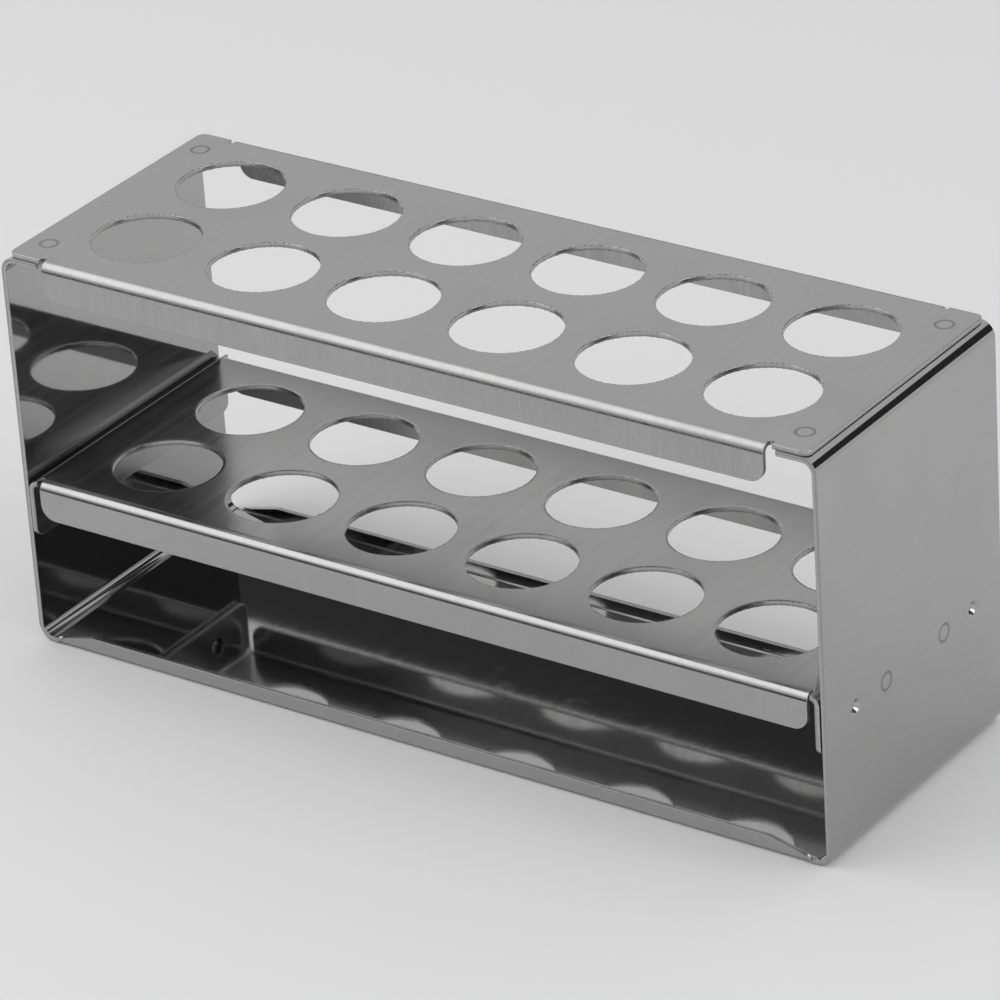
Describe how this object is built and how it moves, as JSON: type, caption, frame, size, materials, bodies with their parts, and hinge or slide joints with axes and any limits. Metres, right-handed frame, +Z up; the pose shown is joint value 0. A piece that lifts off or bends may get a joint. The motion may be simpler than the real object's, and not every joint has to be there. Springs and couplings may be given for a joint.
{
  "type": "test tube rack",
  "caption": "Bent stainless steel rack that holds two rows of large tubes upright through matching round holes in a top plate and a shelf, over a lipped base.",
  "frame": {"origin": "centre of the base's underside, on the surface that the rack stands on", "axes": "+X along the length, +Y from the front to the back, +Z up"},
  "size_m": [0.263, 0.0926, 0.122],
  "materials": {
    "frame_steel": "satin, mill-rolled",
    "plate_steel": "satin, mill-rolled",
    "shelf_steel": "satin, mill-rolled",
    "weld_steel": "dull, heat-marked"
  },
  "bodies": {
    "root": {"frame": "frame_steel", "top_plate": "plate_steel", "shelf": "shelf_steel", "weld_top_front_left": "weld_steel", "weld_top_back_left": "weld_steel", "weld_top_front_right": "weld_steel", "weld_top_back_right": "weld_steel", "weld_shelf_front_left": "weld_steel", "weld_shelf_back_left": "weld_steel", "weld_shelf_front_right": "weld_steel", "weld_shelf_back_right": "weld_steel"}
  },
  "joints": []
}
